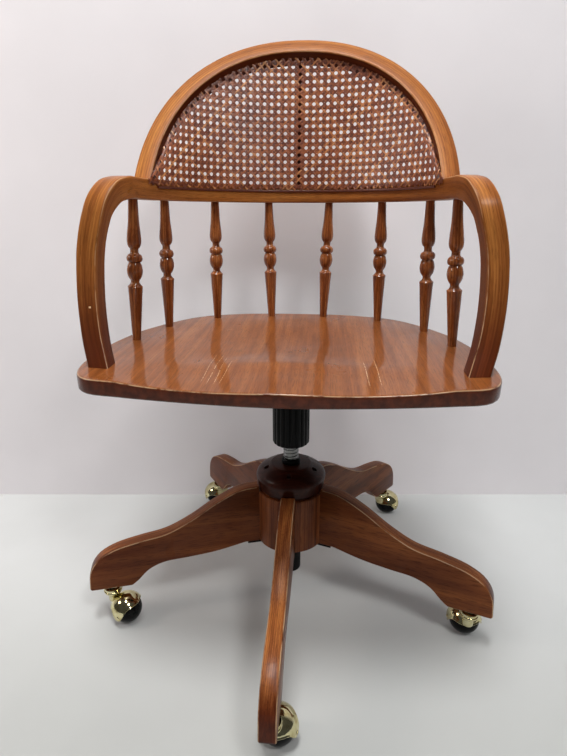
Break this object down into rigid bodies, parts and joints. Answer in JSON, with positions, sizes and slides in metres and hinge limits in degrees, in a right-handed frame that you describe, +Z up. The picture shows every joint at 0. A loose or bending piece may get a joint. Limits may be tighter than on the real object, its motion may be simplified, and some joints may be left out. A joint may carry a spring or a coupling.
{
  "type": "swivel armchair",
  "caption": "Wooden swivel armchair with a bent arm bow on turned spindles, a leaning cane-filled crest, a screw column and a five-legged base on hooded ball casters.",
  "frame": {"origin": "on the floor, under the middle of the bounding box; the swivel axis stands 18 mm behind it", "axes": "+Z up; the sitter looks along -Y; +X is the left hand of someone sitting in it"},
  "size_m": [0.6444, 0.6274, 0.9036],
  "materials": {
    "oak": "lacquered medium-brown oak",
    "dark_oak": "lacquered darker oak",
    "cane": "split cane, brown",
    "brass": "bright plated",
    "black_steel": "black satin paint",
    "black_plastic": "black, slightly worn",
    "ball_plastic": "hard black",
    "zinc_steel": "bright zinc",
    "chrome_steel": "oiled bright thread"
  },
  "bodies": {
    "base": {"hub": "oak", "hub_cap": "dark_oak", "column_tube": "black_steel", "screw_bushing": "black_plastic", "bottom_plate": "black_steel", "leg_1": "oak", "leg_2": "oak", "leg_3": "oak", "leg_4": "oak", "leg_5": "oak", "caster_socket_1": "zinc_steel", "caster_socket_2": "zinc_steel", "caster_socket_3": "zinc_steel", "caster_socket_4": "zinc_steel", "caster_socket_5": "zinc_steel"},
    "screw": {"lift_screw": "chrome_steel"},
    "control": {"control_housing": "black_steel", "pivot_pin": "zinc_steel", "tilt_spring_left": "zinc_steel", "tilt_spring_right": "zinc_steel", "tension_bolt": "zinc_steel", "front_stop": "black_plastic"},
    "collar": {"height_collar": "black_plastic"},
    "seat_body": {"seat": "oak", "seat_plate": "black_steel", "arm_bow": "oak", "crest_bow": "oak", "cane_panel": "cane", "cane_spline": "cane", "back_slat": "dark_oak", "spindle_1": "oak", "spindle_2": "oak", "spindle_3": "oak", "spindle_4": "oak", "spindle_5": "oak", "spindle_6": "oak", "spindle_7": "oak", "spindle_8": "oak"},
    "caster_1": {"caster_hood_1": "brass", "caster_axle_1": "zinc_steel"},
    "ball_1": {"caster_ball_1": "ball_plastic"},
    "caster_2": {"caster_hood_2": "brass", "caster_axle_2": "zinc_steel"},
    "ball_2": {"caster_ball_2": "ball_plastic"},
    "caster_3": {"caster_hood_3": "brass", "caster_axle_3": "zinc_steel"},
    "ball_3": {"caster_ball_3": "ball_plastic"},
    "caster_4": {"caster_hood_4": "brass", "caster_axle_4": "zinc_steel"},
    "ball_4": {"caster_ball_4": "ball_plastic"},
    "caster_5": {"caster_hood_5": "brass", "caster_axle_5": "zinc_steel"},
    "ball_5": {"caster_ball_5": "ball_plastic"}
  },
  "joints": [
    {"name": "seat_swivel", "type": "hinge", "parent": "base", "child": "screw", "pos_m": [0.00167, 0.01773, 0.264], "axis": [0, 0, 1], "continuous": true},
    {"name": "seat_height", "type": "slide", "parent": "screw", "child": "control", "axis": [0, 0, 1], "range_m": [-0.025, 0.065]},
    {"name": "collar_turn", "type": "hinge", "parent": "control", "child": "collar", "pos_m": [0.00167, 0.01773, 0.34], "axis": [0, 0, 1], "continuous": true},
    {"name": "seat_tilt", "type": "hinge", "parent": "control", "child": "seat_body", "pos_m": [0.00167, 0.03773, 0.4212], "axis": [-1, 0, 0], "range_deg": [0, 15], "stiffness_Nm_per_rad": 150, "springref_deg": -8.59},
    {"name": "caster_swivel_1", "type": "hinge", "parent": "base", "child": "caster_1", "pos_m": [-0.00361, -0.28423, 0.064], "axis": [0, 0, 1], "continuous": true},
    {"name": "ball_roll_1", "type": "hinge", "parent": "caster_1", "child": "ball_1", "pos_m": [0.00373, -0.26138, 0.02362], "axis": [-0.9521, 0.3058, 0], "continuous": true},
    {"name": "caster_swivel_2", "type": "hinge", "parent": "base", "child": "caster_2", "pos_m": [0.28721, -0.08059, 0.064], "axis": [0, 0, 1], "continuous": true},
    {"name": "ball_roll_2", "type": "hinge", "parent": "caster_2", "child": "ball_2", "pos_m": [0.28891, -0.05665, 0.02362], "axis": [-0.9975, 0.0707, 0], "continuous": true},
    {"name": "caster_swivel_3", "type": "hinge", "parent": "base", "child": "caster_3", "pos_m": [0.18341, 0.25892, 0.064], "axis": [0, 0, 1], "continuous": true},
    {"name": "ball_roll_3", "type": "hinge", "parent": "caster_3", "child": "ball_3", "pos_m": [0.20013, 0.27613, 0.02362], "axis": [-0.7174, 0.6967, 0], "continuous": true},
    {"name": "caster_swivel_4", "type": "hinge", "parent": "base", "child": "caster_4", "pos_m": [-0.17156, 0.26511, 0.064], "axis": [0, 0, 1], "continuous": true},
    {"name": "ball_roll_4", "type": "hinge", "parent": "caster_4", "child": "ball_4", "pos_m": [-0.18568, 0.28452, 0.02362], "axis": [-0.8085, -0.5885, 0], "continuous": true},
    {"name": "caster_swivel_5", "type": "hinge", "parent": "base", "child": "caster_5", "pos_m": [-0.28714, -0.07057, 0.064], "axis": [0, 0, 1], "continuous": true},
    {"name": "ball_roll_5", "type": "hinge", "parent": "caster_5", "child": "ball_5", "pos_m": [-0.26388, -0.07651, 0.02362], "axis": [0.2474, 0.9689, 0], "continuous": true}
  ],
  "couplings": [
    {"joint": "collar_turn", "follows": "seat_height", "rad_per_m": 1047.2}
  ]
}
